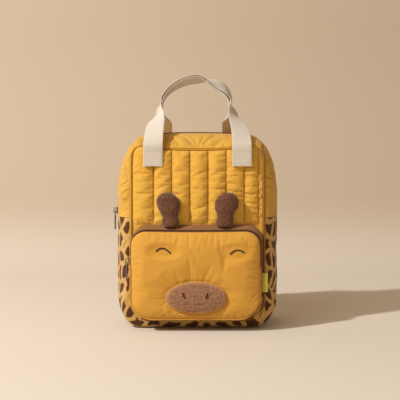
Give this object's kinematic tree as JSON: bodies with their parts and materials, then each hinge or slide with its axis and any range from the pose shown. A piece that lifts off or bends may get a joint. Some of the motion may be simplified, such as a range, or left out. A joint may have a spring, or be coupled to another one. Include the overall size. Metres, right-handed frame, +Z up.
{
  "type": "kids backpack",
  "caption": "Small child's backpack with a quilted front, a padded front pocket with a plush animal face, webbing handles and padded shoulder straps.",
  "frame": {"origin": "on the surface that the bag stands on, under the middle of its body", "axes": "+Z up, +X to the right seen from the front, +Y towards the wearer's back"},
  "size_m": [0.2628, 0.2007, 0.3973],
  "materials": {
    "padded_cloth": "padded mustard yellow cotton, quilted",
    "back_cloth": "mustard yellow cotton over padding",
    "printed_cloth": "cotton with a brown patch print on tan",
    "pocket_cloth": "smooth mustard yellow cotton",
    "brown_plush": "short dark brown plush",
    "tan_plush": "short taupe plush",
    "cream_webbing": "woven cotton webbing",
    "zip_tape": "brown zip tape with coil teeth",
    "dark_thread": "dark satin stitch",
    "tag_cloth": "folded lime yellow ribbon, bare",
    "aged_metal": "darkened metal",
    "dark_plastic": "moulded brown plastic"
  },
  "bodies": {
    "bag": {"front_panel": "padded_cloth", "back_panel": "back_cloth", "front_gusset": "padded_cloth", "rear_gusset": "padded_cloth", "main_zip": "zip_tape", "lower_gusset": "printed_cloth", "front_piping": "padded_cloth", "back_piping": "padded_cloth", "pocket_front": "pocket_cloth", "pocket_gusset": "printed_cloth", "pocket_zip": "zip_tape", "horn_left": "brown_plush", "horn_right": "brown_plush", "muzzle": "tan_plush", "nostril_left": "dark_thread", "nostril_right": "dark_thread", "eye_left": "dark_thread", "eye_right": "dark_thread", "side_tag": "tag_cloth", "handle_front": "cream_webbing", "handle_back": "cream_webbing", "shoulder_strap_left": "back_cloth", "shoulder_strap_right": "back_cloth", "strap_tail_left": "cream_webbing", "strap_tail_right": "cream_webbing", "adjuster_left": "dark_plastic", "adjuster_right": "dark_plastic", "main_slider": "aged_metal", "pocket_slider": "aged_metal"},
    "main_pull": {"main_pull": "aged_metal"},
    "pocket_pull": {"pocket_pull": "aged_metal"}
  },
  "joints": [
    {"name": "main_pull_swing", "type": "hinge", "parent": "bag", "child": "main_pull", "pos_m": [-0.13235, 0, 0.179], "axis": [0, 1, 0], "range_deg": [0, 160]},
    {"name": "pocket_pull_swing", "type": "hinge", "parent": "bag", "child": "pocket_pull", "pos_m": [-0.10799, -0.07729, 0.107], "axis": [0, 1, 0], "range_deg": [0, 160]}
  ]
}
